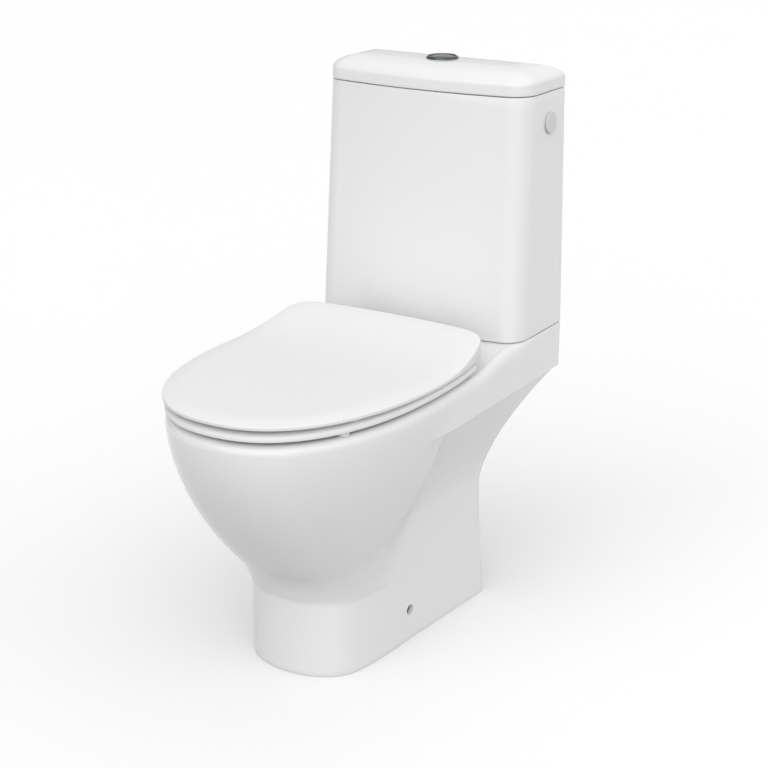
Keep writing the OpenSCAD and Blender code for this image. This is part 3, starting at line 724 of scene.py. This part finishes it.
CAP_X = 171.1           # the cistern's side face at the cap
cap = [(10.4, -27), (10.4, -0.6), (14.2, -0.6), (14.2, 1.2), (15.6, 1.3), (16.1, 1.7), (16.2, 2.3),
       (16.0, 3.0), (15.4, 3.5), (14.4, 3.8), (12.6, 3.8), (9, 3.8), (5, 3.8), (1, 3.8)]
piece("side_cap", *lathe(cap, (CAP_X, CAP_Y, CAP_Z), "x", 96), "side_hole_cap", "cap_plastic", CAP,
      30)

# ---- seat ------------------------------------------------------------------------------

# Half width, where it is widest, the tip and the back of the seat
SEAT_HALF, SEAT_WIDE_Y, SEAT_TIP_Y, SEAT_REAR_Y = 178.2, -362.6, -656.0, -208.0
SEAT_HUB = np.array([0.0, -400.0])
SEAT_SHARP = 40


def seat_outline():
    """The seat's outline, anticlockwise from the tip, with evenly smoothed corners."""
    e, reach_y = 2 / 2.29, SEAT_WIDE_Y - SEAT_TIP_Y
    a = np.linspace(-math.pi / 2, 0, 90)
    pts = [(SEAT_HALF * math.cos(t) ** e if t > -math.pi / 2 else 0.0,
            SEAT_WIDE_Y - reach_y * abs(math.sin(t)) ** e) for t in a]
    rear_r, bow, taper = 29.0, 7.0, 10.7
    end = SEAT_REAR_Y - bow - rear_r
    pts += [(SEAT_HALF - taper * s ** 2.28, mix(SEAT_WIDE_Y, end, s))
            for s in np.linspace(0, 1, 30)[1:]]
    half = SEAT_HALF - taper
    pts += [(half - rear_r * (1 - math.cos(t)), end + rear_r * math.sin(t))
            for t in quarter(20)[1:]]
    edge = half - rear_r
    pts += [(x, SEAT_REAR_Y - bow * (x / half) ** 2) for x in np.linspace(edge, 0, 30)[1:]]
    whole = mirrored(np.array(pts))
    # Even spacing, then a short blur so that no kink is left between the arcs
    closed = np.concatenate([whole, whole[:1]])
    run = np.concatenate([[0], np.cumsum(np.linalg.norm(np.diff(closed, axis=0), axis=1))])
    at = np.linspace(0, run[-1], 360, endpoint=False)
    even = np.column_stack([np.interp(at, run, closed[:, 0]), np.interp(at, run, closed[:, 1])])
    soft = even.copy()
    for _ in range(10):
        soft = (np.roll(soft, 1, 0) + 2 * soft + np.roll(soft, -1, 0)) / 4
    rear = smooth((even[:, 1] + 330) / 60)[:, None]
    line = mix(even, soft, np.maximum(rear, 0.35))
    scale_x = SEAT_HALF / np.abs(line[:, 0]).max()
    return line * [scale_x, 1]


OUTLINE = seat_outline()
tangent = np.roll(OUTLINE, -1, 0) - np.roll(OUTLINE, 1, 0)
NORMAL = np.column_stack([tangent[:, 1], -tangent[:, 0]])
NORMAL /= np.linalg.norm(NORMAL, axis=1)[:, None]


def inset_line(inset):
    """The outline moved in by its own normal when close, and towards the hub further in."""
    near = min(inset, 10.0)
    pts = OUTLINE - NORMAL * near
    away = pts - SEAT_HUB
    far = np.linalg.norm(away, axis=1)
    return SEAT_HUB + away * np.maximum(0.01, 1 - (inset - near) / far)[:, None]


def rear_share(y):
    """0 at the seat's widest place, 1 at its back."""
    return clamp((y - SEAT_WIDE_Y) / (SEAT_REAR_Y - SEAT_WIDE_Y))


# The lid rises a little towards its tip, and more towards the hinges
LID_SLOPE = 0.0145


def lid_top(y):
    return 433 + LID_SLOPE * (SEAT_REAR_Y - y) + 29.6 * rear_share(y) ** 2


def lid_edge(y):
    return 423.4 + LID_SLOPE * (SEAT_REAR_Y - y) + 4 * rear_share(y)


def knuckle(x0, x1):
    """A round hinge eye between two places on the hinge line."""
    return lathe([(8.2, x0), (9, x0 + 0.8), (9, x1 - 0.8), (8.2, x1)], (0, HINGE_Y, HINGE_Z), "x",
                 48)


def finish_hinged(obj, arms):
    """Joins the hinge arms to a piece and bores the hinge line through them."""
    cut(obj, arms, "UNION")
    cut(obj, [hole(HINGE_PIN_R, (0, HINGE_Y, HINGE_Z), -130, 130, "x")])
    shade(obj, SEAT_SHARP)


def build_seat_lid():
    under = 5.5
    rings = []

    def add(inset, height, drop=0.0, crown=0.0):
        line = inset_line(inset)
        y = line[:, 1]
        share = height + crown * smooth(1.3 * rear_share(y))
        rings.append(np.column_stack([line, mix(lid_edge(y), lid_top(y), share) - drop]))

    for inset in (390, 250, 150, 90, 50, 25, 13):
        add(inset, 1, under)
    for inset, height, drop in ((9, 1, under + 0.4), (7.4, 1, under + 1.6), (7, 0, -1.2),
                                (6.4, 0, -0.3), (5.6, 0, 0), (1.0, 0, 0), (0.3, 0, -0.35),
                                (0, 0, -1.0)):
        add(inset, height, drop)
    # Outer edge: upright at the bottom, a tight bend, then a long gentle crown to the top
    bend_r, bend_low, bend_high, crown = 1.4, 0.40, 0.58, 0.34
    for t in quarter(7):
        add(bend_r * (1 - math.cos(t)), mix(bend_low, bend_high, math.sin(t)), crown=crown)
    for t in np.linspace(0, 1, 12)[1:]:
        add(mix(bend_r, 30, t), mix(bend_high, 1.0, 1 - (1 - t) ** 2), crown=crown * (1 - t) ** 2)
    for inset in (45, 60, 80, 110, 150, 210, 280, 390):
        add(inset, 1)
    verts, faces = loft(rings)
    lid = piece("seat_lid_shell", verts, faces, "seat_lid", "seat_thermoset", SEAT,
                sharp=SEAT_SHARP)
    arms = []
    for s in (1, -1):
        x0, x1 = sorted((s * (HINGE_X - 27), s * (HINGE_X + 39)))
        cut(lid, [box_mesh((x0, -224, 410), (x1, -204, 447))])
        x0, x1 = sorted((s * 101.7, s * 112.7))
        arms += [box_mesh((x0, -237, HINGE_Z), (x1, -221, 451)), knuckle(x0, x1)]
    finish_hinged(lid, arms)


def build_seat_ring():
    low, high, edge, r_low, roll = 413.0, 424.2, 2.5, 1.0, 14.0
    opening_y, inner_r, lower_r = -404, 5, 2
    outer = inset_line(edge)
    direction = np.arctan2(outer[:, 1] - opening_y, outer[:, 0])
    length = np.where(np.sin(direction) > 0, 118, 190)

    def opening(grow):
        r = ((np.abs(np.cos(direction)) / (114 + grow)) ** POWER
             + (np.abs(np.sin(direction)) / (length + grow)) ** POWER) ** (-1 / POWER)
        return np.column_stack([r * np.cos(direction), opening_y + r * np.sin(direction)])

    rings = [at_height(inset_line(edge + r_low * (1 - math.sin(t))),
                       low + r_low * (1 - math.cos(t))) for t in quarter(5)]
    shoulder = ((0, 417.6), (0.5, 418.9), (1.7, 420.2), (3.6, 421.4), (6.2, 422.6), (9.4, 423.6),
                (roll, high))
    rings += [at_height(inset_line(edge + inset), z) for inset, z in shoulder]
    start = inset_line(edge + roll)
    rings += [at_height(mix(start, opening(inner_r), t), high) for t in (0.25, 0.5, 0.75)]
    rings += [at_height(opening(inner_r * (1 - math.sin(t))), high - inner_r * (1 - math.cos(t)))
              for t in quarter(8)]
    rings += [at_height(opening(lower_r * (1 - math.cos(t))),
                        low + lower_r - lower_r * math.sin(t)) for t in quarter(5)]
    faces = grid_faces(len(rings) + 1, len(OUTLINE))
    ring = piece("seat_ring_shell", np.concatenate(rings + [rings[0]]), faces, "seat_ring",
                 "seat_thermoset", SEAT, sharp=SEAT_SHARP)
    cut(ring, [box_mesh((-200, -246, 405), (200, -180, 432))])
    arms = []
    for s in (1, -1):
        for x in (HINGE_X - 23.8, HINGE_X + 9.4):
            x0, x1 = sorted((s * x, s * (x + 14.4)))
            arms += [box_mesh((x0, -252, 414), (x1, -226, 429)), knuckle(x0, x1)]
    finish_hinged(ring, arms)


build_seat_lid()
build_seat_ring()

# ---- camera, light and floor -----------------------------------------------------------

# In front, to the right and above, looking down at the middle of the toilet
camera = bpy.data.objects.new("camera", bpy.data.cameras.new("camera"))
bpy.context.scene.collection.objects.link(camera)
right = Vector((0.84955, 0.52752, 0.0))
up = Vector((-0.17807, 0.28677, 0.9413))
look = Vector((-0.49655, 0.79968, -0.33756))
turn = Matrix((right, up, -look)).transposed().to_4x4()
camera.matrix_world = Matrix.Translation((1.24784, -1.91063, 1.20308)) @ turn
camera.data.sensor_width = 36
camera.data.lens = 79.28
bpy.context.scene.camera = camera


def soft_sun(name, towards, power, spread):
    """A very wide, even light from one side; towards points from the object to the light."""
    light = bpy.data.lights.new(name, "SUN")
    light.energy = power
    light.angle = math.radians(spread)
    obj = bpy.data.objects.new(name, light)
    obj.rotation_euler = Vector(towards).to_track_quat("Z", "Y").to_euler()
    bpy.context.scene.collection.objects.link(obj)


soft_sun("key", (0.15, -0.82, 0.55), 1.15, 80)
soft_sun("right_fill", (1.0, -0.1, 0.1), 0.56, 90)

# The room: bright above, dimmer below and on the left
world = bpy.data.worlds.new("studio")
world.use_nodes = True
room, links = world.node_tree.nodes, world.node_tree.links
direction = room.new("ShaderNodeTexCoord")
split = room.new("ShaderNodeSeparateXYZ")
level = settings(room.new("ShaderNodeMapRange"), From_Min=-0.3, From_Max=0.3, To_Min=0.34,
                 To_Max=0.88)
left = settings(room.new("ShaderNodeMapRange"), From_Min=-1.0, From_Max=-0.2, To_Min=0.62,
                To_Max=1.0)
product = room.new("ShaderNodeMath")
product.operation = "MULTIPLY"
links.new(direction.outputs["Generated"], split.inputs["Vector"])
links.new(split.outputs["Z"], level.inputs["Value"])
links.new(split.outputs["X"], left.inputs["Value"])
links.new(level.outputs["Result"], product.inputs[0])
links.new(left.outputs["Result"], product.inputs[1])
links.new(product.outputs[0], room["Background"].inputs["Strength"])
settings(room["Background"], Color=(1, 1, 1, 1))
bpy.context.scene.world = world

# The floor lies half a millimetre low, so that the foot's underside doesn't share its plane
FLOOR_HALF, FLOOR_Z = 30, -0.0005
floor_mesh = bpy.data.meshes.new("floor")
floor_mesh.from_pydata([(x * FLOOR_HALF, y * FLOOR_HALF, FLOOR_Z)
                        for x, y in ((-1, -1), (1, -1), (1, 1), (-1, 1))], [], [(0, 1, 2, 3)])
floor = bpy.data.objects.new("floor", floor_mesh)
bpy.context.scene.collection.objects.link(floor)
floor_mesh.materials.append(material("floor_paint", (0.96, 0.96, 0.96), 0.7, tint=0.002,
                                     rough_var=0.02, scale=4, bump=0.0, bump_scale=50))
# The floor throws no light up at the object
floor.visible_diffuse = False
bpy.context.scene.view_settings.view_transform = "Standard"
